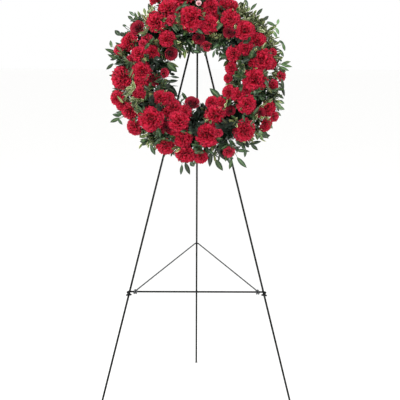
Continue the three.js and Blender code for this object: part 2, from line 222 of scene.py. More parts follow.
def piece_of(name, parts, materials):
    """One piece at the origin, joined from copies of (mesh, matrix), which rides on the stand."""
    joined = bmesh.new()
    for mesh, matrix in parts:
        copy = mesh.copy()
        copy.transform(matrix)
        joined.from_mesh(copy)
        bpy.data.meshes.remove(copy)
    mesh = mesh_of(joined, name)
    for finish in materials:
        mesh.materials.append(finish)
    made = bpy.data.objects.new(name, mesh)
    scene.collection.objects.link(made)
    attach(made, "stand")
    return made


def turned(outline, sides, is_ring=False):
    """A body of revolution about Z from its outline of radius and height, which for a ring closes
    on itself and otherwise runs from the axis to the axis."""
    made = bmesh.new()
    corners = [made.verts.new((radius, 0, height)) for radius, height in outline]
    follow = corners[1:] + corners[:1] if is_ring else corners[1:]
    edges = [made.edges.new(pair) for pair in zip(corners, follow)]
    bmesh.ops.spin(made, geom=corners + edges, axis=(0, 0, 1), cent=(0, 0, 0), angle=FULL_TURN,
                   steps=sides, use_merge=True)
    bmesh.ops.remove_doubles(made, verts=made.verts[:], dist=1e-6)
    bmesh.ops.recalc_face_normals(made, faces=made.faces[:])
    return made


# Tray: an open ring, vacuum-formed in one piece from dark green plastic sheet. Its skin is faintly
# pebbled, every 2 mm, with a satin shine. Three stiffening grooves are pressed into its back, and
# its bottom edges are rounded.
PEBBLES_PER_METRE = 500.0
tray_plastic = mottled(
    "vacuum-formed green tray plastic",
    {"Base Color": linear("1D3A2A"), "Roughness": 0.45},
    "ShaderNodeTexNoise", "Fac", {"Scale": PEBBLES_PER_METRE, "Detail": 2.0}, ("193425", "234433"),
    bump=(0.15, 0.0006))
TRAY_INNER, TRAY_OUTER = 0.149, 0.2288
TRAY_BACK, TRAY_LIP = 0.0034, 0.0234
TRAY_WALL, OUTER_WALL = 0.0025, 0.0023
EDGE_ROUNDING = 0.002
GROOVE_RADII = [0.164, 0.189, 0.214]
GROOVE_PROFILE = [(-0.0035, 0.0), (-0.0015, 0.0014), (0.0015, 0.0014), (0.0035, 0.0)]
tray_floor = TRAY_BACK + TRAY_WALL
inner_wall_inside = TRAY_INNER + TRAY_WALL
outer_wall_inside = TRAY_OUTER - OUTER_WALL
tray_outline = [(TRAY_INNER, tray_floor), (TRAY_INNER + EDGE_ROUNDING, TRAY_BACK)]
for groove in GROOVE_RADII:
    tray_outline += [(groove + aside, TRAY_BACK + depth) for aside, depth in GROOVE_PROFILE]
tray_outline += [
    (outer_wall_inside, TRAY_BACK), (TRAY_OUTER, tray_floor), (TRAY_OUTER, TRAY_LIP),
    (outer_wall_inside, TRAY_LIP), (outer_wall_inside, tray_floor), (inner_wall_inside, tray_floor),
    (inner_wall_inside, TRAY_LIP), (TRAY_INNER, TRAY_LIP),
]
shell_mesh = mesh_of(turned(tray_outline, 96, is_ring=True), "tray shell")
tray = piece_of("grooved_tray", [(shell_mesh, FACE)], [tray_plastic])
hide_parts("ring_tray")


def petal_material(name, deep, middle, light, roughness):
    """Petal tissue, painted deep at the claw as shade down in the head and lighter at the rim as a
    painted highlight. The tint layer holds how far along the petal a point lies (red) and the
    petal's own shade (green), which makes its tone up to a fifth darker or lighter."""
    made, tree, shader = material(name, {"Base Color": linear(middle), "Roughness": roughness,
                                         "Sheen Weight": 0.08, "Specular IOR Level": 0.12})
    tint = node(tree, "ShaderNodeAttribute", {"attribute_name": "tint"})
    split = node(tree, "ShaderNodeSeparateColor", Color=tint.outputs["Color"])
    shade = node(tree, "ShaderNodeMath", {"operation": "MULTIPLY_ADD", 1: 0.42, 2: -0.2})
    tree.links.new(split.outputs["Green"], shade.inputs[0])
    total = node(tree, "ShaderNodeMath", {"operation": "ADD"})
    tree.links.new(split.outputs["Red"], total.inputs[0])
    tree.links.new(shade.outputs[0], total.inputs[1])
    # Painted light: the deep colour at the claws is shade down in the head, the light one at the rims a
    # highlight.
    tone = node(tree, "ShaderNodeValToRGB", Fac=total.outputs[0])
    ramp = tone.color_ramp
    ramp.elements[0].position = 0.12
    ramp.elements[0].color = linear(deep)
    ramp.elements[1].position = 1.0
    ramp.elements[1].color = linear(light)
    ramp.elements.new(0.62).color = linear(middle)
    tree.links.new(tone.outputs["Color"], shader.inputs["Base Color"])
    return made


def smooth_skin(shape, slot):
    """Shades every face of a bmesh smooth and gives it one of its piece's materials."""
    for face in shape.faces:
        face.smooth = True
        face.material_index = slot


def blade_mesh(sheet, name, thickness, slot=0):
    """The mesh of a thin sheet once it has its thickness, closed all round."""
    bmesh.ops.solidify(sheet, geom=sheet.faces[:], thickness=thickness)
    bmesh.ops.recalc_face_normals(sheet, faces=sheet.faces[:])
    smooth_skin(sheet, slot)
    return mesh_of(sheet, name)


# Standard carnations: heads of thin, soft red petals, fan-shaped, toothed and ruffled at the rim,
# which grow from the mouth of the calyx. They are matt with a faint bloom, painted deep red between
# the petals as shade and lighter at the rims as a highlight. A head is made one metre in radius and then
# scaled.
carnation_red = petal_material("carnation petal, bright red", "A60F2C", "C51436", "D8294A", 0.6)
GOLDEN_ANGLE = math.radians(137.5)
CALYX_MOUTH = -0.45
PETAL_THICKNESS = 0.012
PETAL_CLAW = 0.12
RIM_TEETH = 0.045
RUFFLE_WAVES = 8


def add_petal(target, matrix, length, spread, ruffle, shade, across, curl):
    """A fan-shaped petal with a ruffled, toothed rim, its claw at the matrix's origin along Z."""
    petal = bmesh.new()
    bmesh.ops.create_grid(petal, x_segments=across, y_segments=3, size=1)
    tint = petal.verts.layers.float_color.new("tint")
    phase = random.uniform(0, FULL_TURN)
    for vert in petal.verts:
        side = vert.co.x
        reach = (vert.co.y + 1) / 2
        column = round((side + 1) / 2 * across)
        tooth = RIM_TEETH * (1 if column % 2 else -1) if reach > 0.99 else 0.0
        radius = length * (PETAL_CLAW + (1 - PETAL_CLAW) * reach) * (1 - 0.16 * side * side * reach + tooth)
        angle = side * spread * (0.35 + 0.65 * reach)
        wave = ruffle * length * reach ** 3 * math.sin(side * RUFFLE_WAVES + phase)
        bend = curl * length * reach ** 2
        vert.co = Vector((radius * math.sin(angle), wave + bend, radius * math.cos(angle)))
        vert[tint] = (reach, shade, 0, 1)
    mesh = blade_mesh(petal, "petal", PETAL_THICKNESS)
    mesh.transform(matrix)
    target.from_mesh(mesh)
    bpy.data.meshes.remove(mesh)


def carnation_head(seed, petals, openness, across=8):
    """A head one metre in radius, with petals from the calyx's mouth out to a ruffled dome. The
    outermost lean out by the openness, in degrees."""
    random.seed(seed)
    head = bmesh.new()
    mouth = Vector((0, 0, CALYX_MOUTH))
    for i in range(petals):
        share = (i + 0.5) / petals
        lean = math.radians(openness) * share ** 0.58
        turn = i * GOLDEN_ANGLE + random.uniform(-0.15, 0.15)
        roll = random.uniform(-1.1, 1.1) * (1 - share) ** 0.5 + random.uniform(-0.2, 0.2)
        length = 0.98 + 0.1 * math.sin(lean) + random.uniform(-0.06, 0.05)
        matrix = (Matrix.Translation(mouth) @ Matrix.Rotation(turn, 4, "Z")
                  @ Matrix.Rotation(lean, 4, "X") @ Matrix.Rotation(roll, 4, "Z"))
        curl = random.uniform(-0.08, 0.14) + 0.12 * (share - 0.5)
        add_petal(head, matrix, length, spread=random.uniform(0.42, 0.62), ruffle=random.uniform(0.07, 0.12),
                  shade=random.random(), across=across, curl=curl)
    return mesh_of(head, "carnation head")


HEADS = [carnation_head(seed, petals=58, openness=100) for seed in range(1, 6)]

# Stems and calyx: each flower's smooth blue-green stem, cut and pushed into the foam, and the green
# cup that holds its petals. A wax bloom makes them matt, and lighter in patches 8 mm wide. The same
# green is the second material of every flower and sprig.
PATCHES_PER_METRE = 120.0
calyx_green = mottled(
    "waxy calyx green",
    {"Base Color": linear("4A6540"), "Roughness": 0.55, "Specular IOR Level": 0.25},
    "ShaderNodeTexNoise", "Fac", {"Scale": PATCHES_PER_METRE}, ("2F4A2C", "587648"))
STALK_SLOT = 1
STEM_RADIUS = 0.0021
WIDEST_CALYX = 0.0075


def stalk_mesh(outline, sides, name):
    """A turned stem or twig, in the green of stalks."""
    stalk = turned(outline, sides)
    smooth_skin(stalk, STALK_SLOT)
    return mesh_of(stalk, name)


def stem_and_calyx(length, radius):
    """Stem from the origin up Z into a calyx under a head of that radius."""
    base = length - 0.35 * radius
    cup = min(WIDEST_CALYX, radius * 0.28)
    outline = [(0, 0), (STEM_RADIUS, 0), (STEM_RADIUS, base - 0.017), (cup * 0.75, base - 0.012),
               (cup, base - 0.005), (cup * 1.1, base), (0, base - 0.004)]
    return stalk_mesh(outline, 10, "stem and calyx")


# The large carnations: standard carnations pushed deep into the foam, one for each CAD carnation and
# on its axis. The spheres round all the heads are kept, so that leaves can be left off where they
# would hide a flower.
CUT_END_REACH = 0.006
LARGE_HEAD_FIT = 1.05
SMALL_HEAD_FIT = 1.02
bloom_spheres = []


def flower_axis(name):
    """A CAD flower's stem end, direction, stem length and head radius, measured on its mesh."""
    points = [vert.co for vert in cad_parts[name].data.vertices]
    middle = sum(points, Vector()) / len(points)
    end = max(points, key=lambda point: (point - middle).length)
    flat_end = [point for point in points if (point - end).length < CUT_END_REACH]
    end = sum(flat_end, Vector()) / len(flat_end)
    direction = (middle - end).normalized()
    heights = [(point - end).dot(direction) for point in points]
    radii = [((point - end) - direction * height).length for point, height in zip(points, heights)]
    widest = radii.index(max(radii))
    return end, direction, heights[widest], radii[widest]


random.seed(11)
carnations = sorted(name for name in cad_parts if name.startswith("carnation_"))
for index, name in enumerate(carnations):
    end, direction, length, radius = flower_axis(name)
    roll = random.uniform(0, FULL_TURN)
    head = aim(end + direction * length, direction, roll, radius * LARGE_HEAD_FIT)
    bloom_spheres.append((end + direction * length, radius * SMALL_HEAD_FIT))
    flower = piece_of(name + "_bloom", [
        (HEADS[index % len(HEADS)], head),
        (stem_and_calyx(length, radius), aim(end, direction)),
    ], [carnation_red, calyx_green])
    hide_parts(name)

# Filler carnations: the smaller standard carnations, pushed in deeper between the large ones. Each
# row is a flower, given as seen from the front: millimetres right, up and off the ring's face, and
# its width in millimetres.
FILLER_CARNATIONS = [
    (-143, 72, 82, 46), (-180, -30, 86, 46), (-262, -74, 56, 50), (-184, -62, 84, 48), (12, -266, 62, 46),
    (46, -82, 66, 42), (76, -84, 70, 36), (101, -52, 74, 48), (130, -62, 92, 46), (160, -46, 82, 40),
    (152, 84, 92, 46), (107, 24, 72, 42), (97, -8, 66, 30), (-62, 236, 60, 46), (114, 226, 62, 44),
    (-22, -262, 60, 42), (-247, -92, 58, 46), (-38, -116, 84, 46), (-66, -188, 78, 44),
    (-40, -238, 70, 40), (-96, -116, 78, 40), (52, 198, 78, 42), (176, 42, 84, 38), (240, 42, 64, 40),
    (-88, -70, 80, 34),
]
STEM_END_HEIGHT = 0.03
STEM_FAN = 0.3
FORWARD_NOD = 0.8


def rooted(x, y, off):
    """Stem end in the foam, direction and length of a flower from its place on the face."""
    head = Vector((x, y, off)) / 1000
    out = Vector((head.x, head.y, 0))
    end = out.normalized() * (FOAM_RADIUS + (out.length - FOAM_RADIUS) * STEM_FAN)
    end += Vector((0, 0, STEM_END_HEIGHT))
    end, head = FACE @ end, FACE @ head
    return end, (head - end).normalized(), (head - end).length


def plant_flower(name, row, head_mesh, materials):
    """One whole flower, stem, calyx and head; the neck bends so that the head looks forward more."""
    end, direction, length = rooted(*row[:3])
    radius = row[3] / 2000
    facing = direction + face_out * FORWARD_NOD
    bloom_spheres.append((end + direction * length, radius))
    flower = piece_of(name, [
        (head_mesh, aim(end + direction * length, facing, random.uniform(0, FULL_TURN),
                        radius * SMALL_HEAD_FIT)),
        (stem_and_calyx(length, radius), aim(end, direction)),
    ], materials)


random.seed(21)
for index, row in enumerate(FILLER_CARNATIONS):
    plant_flower(f"filler_carnation_{index + 1:02d}", row, HEADS[(index + 2) % len(HEADS)],
                 [carnation_red, calyx_green])

# Mini carnations: spray carnations, cut one by one from their sprays and pushed in like the others.
# They are half as wide as the large ones, with fewer petals, and a rosier rim, painted lighter as a
# highlight, over a claw painted deep as shade.
mini_red = petal_material("spray carnation petal, rosy red", "7A0A20", "C81538", "E03E5E", 0.6)
MINI_CARNATIONS = [
    (-82, 172, 98, 38), (-162, 114, 80, 40), (-256, 84, 58, 38), (-213, 50, 76, 32), (-104, 8, 62, 32),
    (104, -248, 66, 40), (29, 93, 60, 38), (247, -30, 60, 42), (275, 2, 52, 36), (68, -186, 112, 30),
    (246, 78, 64, 28), (-182, -48, 92, 34), (252, -132, 60, 34), (-174, 99, 86, 30),
]
MINI_HEADS = [carnation_head(seed, petals=30, openness=88, across=6) for seed in (31, 32, 33)]
random.seed(34)
for index, row in enumerate(MINI_CARNATIONS):
    plant_flower(f"mini_carnation_{index + 1:02d}", row, MINI_HEADS[index % len(MINI_HEADS)],
                 [mini_red, calyx_green])

# Roses: half open, on stems like the others. Their petals are nested cups whose rims roll outwards,
# dark red velvet, painted almost black in the heart as shade and lighter at the rims as a highlight.
# A ring is its radius, height, flare and number of petals, on a head one metre in radius.
rose_red = petal_material("rose petal, dark red velvet", "30040F", "6C0A1E", "9A1630", 0.55)
ROSE_RINGS = [(0.13, 1.0, 0.02, 3), (0.28, 1.0, 0.06, 4), (0.45, 0.94, 0.12, 5), (0.62, 0.84, 0.2, 5),
              (0.76, 0.7, 0.3, 6)]
ROSE_PETAL_THICKNESS = 0.02
ROSES = [
    (-192, 150, 76, 46), (-85, 70, 70, 42), (-137, -16, 74, 38), (-100, -168, 76, 42), (-16, -90, 72, 46),
    (102, 136, 92, 38), (203, -120, 84, 32), (4, 120, 66, 38), (62, 254, 58, 40), (106, -114, 74, 34),
]


def rose_head(seed):
    """A rose head one metre in radius: rings of petals, each a patch of a cup with a rolled rim."""
    random.seed(seed)
    head = bmesh.new()
    for radius, height, flare, count in ROSE_RINGS:
        for i in range(count):
            petal = bmesh.new()
            bmesh.ops.create_grid(petal, x_segments=4, y_segments=4, size=1)
            tint = petal.verts.layers.float_color.new("tint")
            start = FULL_TURN * i / count + radius * 7 + random.uniform(-0.2, 0.2)
            wrap = 1.1 * FULL_TURN / count
            shade = random.random()
            for vert in petal.verts:
                side, rise = vert.co.x, (vert.co.y + 1) / 2
                angle = start + side * wrap / 2
                out = radius * (0.35 + 0.65 * math.sin(rise * math.pi / 2)) + flare * rise ** 4 + 0.04 * side
                vert.co = Vector((out * math.cos(angle), out * math.sin(angle),
                                  CALYX_MOUTH + height * rise * (1 - 0.14 * side * side)))
                vert[tint] = (rise, shade, 0, 1)
            mesh = blade_mesh(petal, "rose petal", ROSE_PETAL_THICKNESS)
            head.from_mesh(mesh)
            bpy.data.meshes.remove(mesh)
    return mesh_of(head, "rose head")


ROSE_HEADS = [rose_head(seed) for seed in (41, 42, 43)]
random.seed(44)
for index, row in enumerate(ROSES):
    plant_flower(f"rose_{index + 1:02d}", row, ROSE_HEADS[index % len(ROSE_HEADS)],
                 [rose_red, calyx_green])

# Bud: one small pale pink rose bud near the top, on its own stem. Its soft petals are painted nearly
# white at the rims as a highlight, and deeper pink at the claws as shade.
bud_pink = petal_material("pale pink bud petal", "C05A6C", "E496A0", "F6CFD0", 0.55)
plant_flower("pale_bud", (4, 227, 96, 17), ROSE_HEADS[0], [bud_pink, calyx_green])


def leaf_material(name, rib, blade, rim, rim_start, roughness):
    """Leaf skin, lighter at the rib and with the rim's colour past rim_start. The tint layer holds
    how far a point lies from the midrib (red) and the leaf's own shade (green)."""
    made, tree, shader = material(name, {"Base Color": linear(blade), "Roughness": roughness,
                                         "Specular IOR Level": 0.5})
    tint = node(tree, "ShaderNodeAttribute", {"attribute_name": "tint"})
    split = node(tree, "ShaderNodeSeparateColor", Color=tint.outputs["Color"])
    place = node(tree, "ShaderNodeTexCoord").outputs["Object"]
    blotch = node(tree, "ShaderNodeTexNoise", {"Scale": BLOTCHES_PER_METRE, "Detail": 2.0}, Vector=place)
    edge = node(tree, "ShaderNodeMath", {"operation": "MULTIPLY_ADD", 1: 0.3})
    tree.links.new(blotch.outputs["Fac"], edge.inputs[0])
    tree.links.new(split.outputs["Red"], edge.inputs[2])
    tone = node(tree, "ShaderNodeValToRGB", Fac=edge.outputs[0])
    ramp = tone.color_ramp
    ramp.elements[0].position = 0.2
    ramp.elements[0].color = linear(rib)
    ramp.elements[1].position = min(1.0, rim_start + 0.12)
    ramp.elements[1].color = linear(rim)
    ramp.elements.new(0.34).color = linear(blade)
    ramp.elements.new(rim_start).color = linear(blade)
    shade = node(tree, "ShaderNodeMapRange", {"To Min": 0.2, "To Max": 2.1}, Value=split.outputs["Green"])
    value = node(tree, "ShaderNodeHueSaturation", Color=tone.outputs["Color"], Value=shade.outputs["Result"])
    tree.links.new(value.outputs["Color"], shader.inputs["Base Color"])
    return made


# Greens: sprigs of living leaves, cut and pushed into the foam. Some have glossy pointed leaves in
# two rows, others small cream-edged or olive leaves in whorls. Their waxy skin shines, most on the
# dark leaves. It is blotched every 6 mm, and each leaf is lighter or darker than the next.
BLOTCHES_PER_METRE = 160.0
glossy_green = leaf_material("glossy dark leaf", "4E6440", "253A24", "374D2F", 0.95, 0.3)
mid_green = leaf_material("satin mid-green leaf", "566F3C", "2D4524", "3C5630", 0.95, 0.4)
pale_green = leaf_material("waxy grey-green leaf", "748A60", "4C6640", "617A50", 0.9, 0.35)
variegated_green = leaf_material("cream-edged leaf", "7C8A4A", "43582B", "D2D0A8", 0.76, 0.42)
olive_green = leaf_material("matt olive leaf", "8A8C58", "3F4D29", "86784C", 0.8, 0.5)
# Nearly black leaves for the deep gaps between the flowers: painted shade.
gap_shade_green = leaf_material("blackish leaf, painted gap shade", "1C2C1E", "101C13", "18261A", 0.95, 0.5)
# Stalks use the second of these, as in the flowers.
GREENS = [glossy_green, calyx_green, mid_green, pale_green, variegated_green, olive_green, gap_shade_green]
LEAF_THICKNESS = 0.0005
LEAF_SLOT = {"dark": 0, "mid": 2, "pale": 3, "cream": 4, "olive": 5, "deep": 6}


def leaf(kind, length, width, fold, droop, blunt, along=5):
    """A leaf blade along Z from its stalk, folded at the rib, its tip drooping towards -Y."""
    blade = bmesh.new()
    bmesh.ops.create_grid(blade, x_segments=2, y_segments=along, size=1)
    tint = blade.verts.layers.float_color.new("tint")
    shade = random.random()
    for vert in blade.verts:
        side, reach = vert.co.x, (vert.co.y + 1) / 2
        half = width / 2 * math.sin(math.pi * min(1, 0.02 + reach * 0.97) ** blunt) ** 0.8
        vert.co = Vector((side * half, abs(side) * half * fold - droop * length * reach ** 2, length * reach))
        vert[tint] = (abs(side) * 0.85, shade, 0, 1)
    return blade_mesh(blade, "leaf", LEAF_THICKNESS, LEAF_SLOT[kind])


def leaf_set(kinds, length, widths, droops, blunt, along=5):
    """Leaves of one set of sprigs, alike but no two the same."""
    return [leaf(kind, length * random.uniform(0.8, 1.15), random.uniform(*widths), random.uniform(0.15, 0.5),
                 random.uniform(*droops), blunt, along) for kind in kinds]


TWIG_LENGTH = 0.068
TWIG_END = 0.98 * TWIG_LENGTH
TWIG = stalk_mesh([(0, 0), (0.0011, 0), (0.0006, 0.97 * TWIG_LENGTH), (0, TWIG_END)], 5, "twig")
BROAD = {"length": 0.036, "widths": (0.0125, 0.0155), "droops": (-0.05, 0.24), "blunt": 0.85}
SMALL = {"length": 0.025, "widths": (0.0095, 0.0125), "droops": (-0.05, 0.2), "along": 4}
random.seed(51)
LEAVES = {
    "glossy": leaf_set(["dark"] * 8 + ["mid"] * 3, **BROAD),
    # Nearly black leaves, painted shade in the deep gaps.
    "deep": leaf_set(["deep"] * 5, **BROAD),
    "cream": leaf_set(["cream"] * 8 + ["mid"], blunt=1.15, **SMALL),
    "olive": leaf_set(["olive"] * 6 + ["mid"] * 2 + ["cream"] * 2, blunt=1.1, **SMALL),
}


def hides_a_bloom(point, share):
    """Whether a point stands in front of that share of a flower's head, seen straight at the wreath."""
    for centre, radius in bloom_spheres:
        gap = point - centre
        height = gap.dot(face_out)
        if height > -0.35 * radius and (gap - face_out * height).length < radius * share:
            return True
    return False


def near_any(spots, x, y, reach):
    """Whether a point on the face, in millimetres, lies within reach of any of the spots."""
    return min(math.hypot(x - spot_x, y - spot_y) for spot_x, spot_y in spots) < reach


# Under the lowest flowers the rim is bare, so that the back leg shows.
BARE_RIM = [(0, -306), (6, -292)]
BARE_REACH = 16


def is_stripped(stalk, tip, cover):
    """Whether the florist strips a leaf off: one that would cover a flower or the bare rim."""
    end = FACE.inverted() @ (stalk @ Vector((0, 0, tip))) * 1000
    over_bloom = any(hides_a_bloom(stalk @ Vector((0, 0, tip * reach)), cover) for reach in (0.45, 0.95))
    return over_bloom or near_any(BARE_RIM, end.x, end.y, BARE_REACH)


# How far each pair of leaves is turned on from the last, in radians.
SPIRAL = {"glossy": 0.5, "deep": 0.5, "cream": 2.4, "olive": 2.4}
LAST_PAIR = 0.97
TIP_LEAF_LEAN = 0.1


def sprig(place, kind, pairs, splay, first=0.28):
    """A cut sprig along Z of a matrix: its twig, bare up to the share where its first leaves are,
    then leaves in pairs, which lean out by the splay in radians, and one at the tip."""
    parts = [(TWIG, place)]
    for i in range(2 * pairs + 1):
        pair = i // 2
        share = first + (LAST_PAIR - first) * pair / pairs
        turn = (i % 2) * math.pi + pair * SPIRAL[kind] + random.uniform(-0.25, 0.25)
        lean = TIP_LEAF_LEAN if pair == pairs else splay * random.uniform(0.75, 1.2)
        stalk = (place @ Matrix.Translation((0, 0, TWIG_LENGTH * share)) @ Matrix.Rotation(turn, 4, "Z")
                 @ Matrix.Rotation(lean, 4, "X"))
        blade = random.choice(LEAVES[kind])
        tip = max(vert.co.z for vert in blade.vertices)
        if not is_stripped(stalk, tip, random.uniform(0.68, 0.92)):
            parts.append((blade, stalk))
    return parts


# Rim sprigs: the greens that stand out past the flowers, each on the CAD sprig that it replaces.
# Cream-edged leaves stand in clumps where the photograph has them, and in its deep gaps only
# nearly black leaves, painted shade that darkens the gaps.
CREAM_CLUMPS = [
    (170, 205), (198, 188), (226, 165), (246, 128), (250, 85), (256, 50), (236, -122), (-130, -104),
    (58, -153), (-179, 198), (214, -195), (-224, -70), (84, -4), (-185, -215),
]
CLUMP_REACH = 44
DEEP_GAPS = [
    (5, -105), (0, -135), (-8, -165), (-140, -88), (-104, -122), (-130, 34), (120, 104), (96, -170),
]
GAP_REACH = 30
RIM_SPRIG_LENGTH = 0.106
random.seed(57)
for name in sorted(node_name for node_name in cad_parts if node_name.startswith("sprig_")):
    end, direction, _, _ = flower_axis(name)
    tip_reach = max((vert.co - end).dot(direction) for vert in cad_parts[name].data.vertices)
    place = aim(end, direction, random.uniform(0, FULL_TURN), tip_reach / RIM_SPRIG_LENGTH)
    spot = FACE.inverted() @ (end + direction * 0.5 * tip_reach) * 1000
    if near_any(CREAM_CLUMPS, spot.x, spot.y, CLUMP_REACH):
        parts = sprig(place, "cream", 6, 0.95)
    else:
        parts = sprig(place, "glossy", 4, 0.75)
    rim_sprig = piece_of("rim_" + name, parts, GREENS)
    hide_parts(name)

# Filling greens: short sprigs pushed all over the foam between the flower stems, a piece for each
# stretch of the ring. They stand in rows from the hole to the rim, and each row is its lean outwards
# in degrees and its sprigs' size.
STRETCHES = 20
SPRIGS_A_ROW = 3
FOAM_HALF_WIDTH, FOAM_SIDE_HEIGHT, FOAM_CROWN = 0.032, 0.034, 0.016
ROWS = [
    (-96, 0.6), (-80, 0.7), (-55, 0.8), (-28, 0.85), (0, 0.9), (28, 0.85), (55, 0.8), (72, 0.72), (90, 0.6),
]
random.seed(61)
for stretch in range(STRETCHES):
    parts = []
    for tilt, size in ROWS:
        for step in range(SPRIGS_A_ROW):
            clock = FULL_TURN * (stretch + (step + random.random()) / SPRIGS_A_ROW) / STRETCHES
            lean = math.radians(tilt + random.uniform(-14, 14))
            out = Vector((math.cos(clock), math.sin(clock), 0))
            along = Vector((-math.sin(clock), math.cos(clock), 0))
            root = out * (FOAM_RADIUS + FOAM_HALF_WIDTH * math.sin(lean))
            root += Vector((0, 0, FOAM_SIDE_HEIGHT + FOAM_CROWN * math.cos(lean)))
            way = out * math.sin(lean) + along * random.uniform(-0.5, 0.5)
            way += Vector((0, 0, math.cos(lean)))
            place = aim(FACE @ root, face_turn @ way.normalized(), random.uniform(0, FULL_TURN),
                        size * random.uniform(0.85, 1.15))
            spot = (root + out * math.sin(lean) * 0.05) * 1000
            # In the deep gaps the sprigs carry nearly black leaves, painted shade.
            if near_any(DEEP_GAPS, spot.x, spot.y, GAP_REACH):
                parts += sprig(place, "deep", 4, 0.85)
            elif near_any(CREAM_CLUMPS, spot.x, spot.y, CLUMP_REACH):
                parts += sprig(place, "cream", 5, 0.95, 0.5)
            elif random.random() < 0.3:
                parts += sprig(place, "olive", 5, 0.95, 0.5)
            else:
                parts += sprig(place, "glossy", 4, 0.85)
    piece_of(f"filling_greens_{stretch + 1:02d}", parts, GREENS)

# Edge sprigs: the sprigs that break the wreath's outline, outwards and into the hole. They are
# pushed into the foam's outer or inner side. Each row is where a tip ends, given as seen from the
# front in millimetres right, up and off the face, and its kind.
EDGE_ROOTS = {"outer": 0.206, "inner": 0.172, "height": 0.04}
EDGE_SPRIG_LENGTH = 0.1
EDGE_TIPS = [
    (268, 112, 56, "cream"), (274, 84, 52, "cream"), (270, 60, 56, "cream"), (258, 96, 74, "cream"),
    (262, 74, 66, "cream"), (250, 112, 72, "cream"), (244, 140, 66, "cream"), (234, 152, 74, "cream"),
    (280, -6, 50, "cream"), (266, -50, 50, "cream"), (268, -88, 50, "glossy"), (222, -200, 60, "cream"),
    (192, -226, 56, "cream"), (-142, -248, 56, "cream"), (-158, -238, 62, "cream"),
    (-262, -128, 56, "glossy"), (-252, 42, 84, "olive"), (-268, 50, 66, "olive"), (-276, 96, 52, "olive"),
    (-270, 76, 62, "glossy"), (-214, 178, 62, "cream"), (-186, 202, 60, "cream"),
    (-166, 214, 56, "cream"), (170, 208, 62, "cream"), (186, 194, 72, "cream"), (204, 182, 70, "cream"),
    (222, 172, 64, "cream"), (222, 156, 76, "cream"), (198, 170, 84, "cream"), (-52, 74, 76, "olive"),
    (-62, 92, 80, "glossy"), (-66, 14, 56, "glossy"), (-62, -24, 56, "glossy"), (-40, -64, 66, "glossy"),
    (90, 0, 74, "cream"), (-8, 88, 56, "glossy"), (148, 236, 60, "olive"), (161, 230, 68, "cream"),
    (170, 226, 58, "olive"), (183, 218, 58, "olive"), (196, 210, 60, "olive"), (206, 202, 56, "cream"),
    (216, 192, 56, "olive"), (227, 184, 58, "olive"), (236, 172, 60, "olive"), (243, 160, 58, "olive"),
    (251, 146, 56, "olive"), (257, 130, 56, "cream"), (263, 116, 58, "olive"), (266, 102, 54, "olive"),
    (180, 190, 84, "olive"), (210, 166, 86, "olive"), (232, 134, 82, "olive"), (244, 104, 80, "olive"),
    (262, 56, 64, "olive"), (268, 40, 56, "olive"), (-74, 104, 62, "olive"), (8, 74, 58, "glossy"),
    (-22, 78, 60, "glossy"), (26, 72, 56, "glossy"), (-272, 88, 60, "glossy"), (-266, 108, 56, "olive"),
    (-158, -232, 54, "olive"), (-282, 66, 54, "olive"), (-238, 142, 58, "glossy"), (278, 94, 56, "olive"),
    (281, 78, 54, "olive"), (284, -46, 50, "olive"), (284, -66, 50, "olive"), (282, -84, 50, "glossy"),
    (278, -104, 50, "glossy"), (170, -228, 52, "glossy"), (-150, -250, 50, "olive"),
    (242, 182, 56, "olive"), (212, 206, 54, "olive"), (226, 196, 54, "olive"), (-278, -20, 52, "glossy"),
    (-280, -52, 50, "glossy"), (-16, 252, 58, "olive"), (0, 258, 52, "glossy"), (12, 250, 62, "olive"),
    (-34, 256, 52, "glossy"), (-222, 128, 70, "glossy"), (-206, 138, 72, "olive"),
    (-262, 104, 62, "glossy"), (258, -118, 66, "cream"), (262, -134, 56, "cream"),
    (244, -150, 60, "cream"), (216, -158, 66, "olive"), (232, -140, 64, "glossy"),
    (240, -112, 70, "glossy"), (-8, 236, 74, "olive"), (120, -222, 62, "glossy"),
    (138, -206, 68, "olive"), (-172, -200, 70, "cream"), (-188, -186, 62, "olive"),
    (-160, -214, 64, "olive"), (-150, -196, 74, "glossy"), (-150, -234, 50, "glossy"),
    (-168, -222, 48, "glossy"), (146, -226, 54, "olive"), (160, -236, 50, "glossy"),
]


def foam_side(x, y, outer, inner, height):
    """Where a stalk enters the foam: on its outer or inner side, whichever a place on the face is
    nearer to, at that radius and that height off the face."""
    radius = outer if math.hypot(x, y) > 1000 * FOAM_RADIUS else inner
    return Vector((x, y, 0)).normalized() * radius + Vector((0, 0, height))


random.seed(71)
parts = []
for x, y, off, kind in EDGE_TIPS:
    tip = Vector((x, y, off)) / 1000
    root = foam_side(x, y, **EDGE_ROOTS)
    way = tip - root
    place = aim(FACE @ root, face_turn @ way.normalized(), random.uniform(0, FULL_TURN),
                way.length / EDGE_SPRIG_LENGTH)
    if kind == "glossy":
        parts += sprig(place, kind, 3, 0.7, 0.5)
    else:
        parts += sprig(place, kind, 6, 0.9, 0.4)
piece_of("edge_sprigs", parts, GREENS)

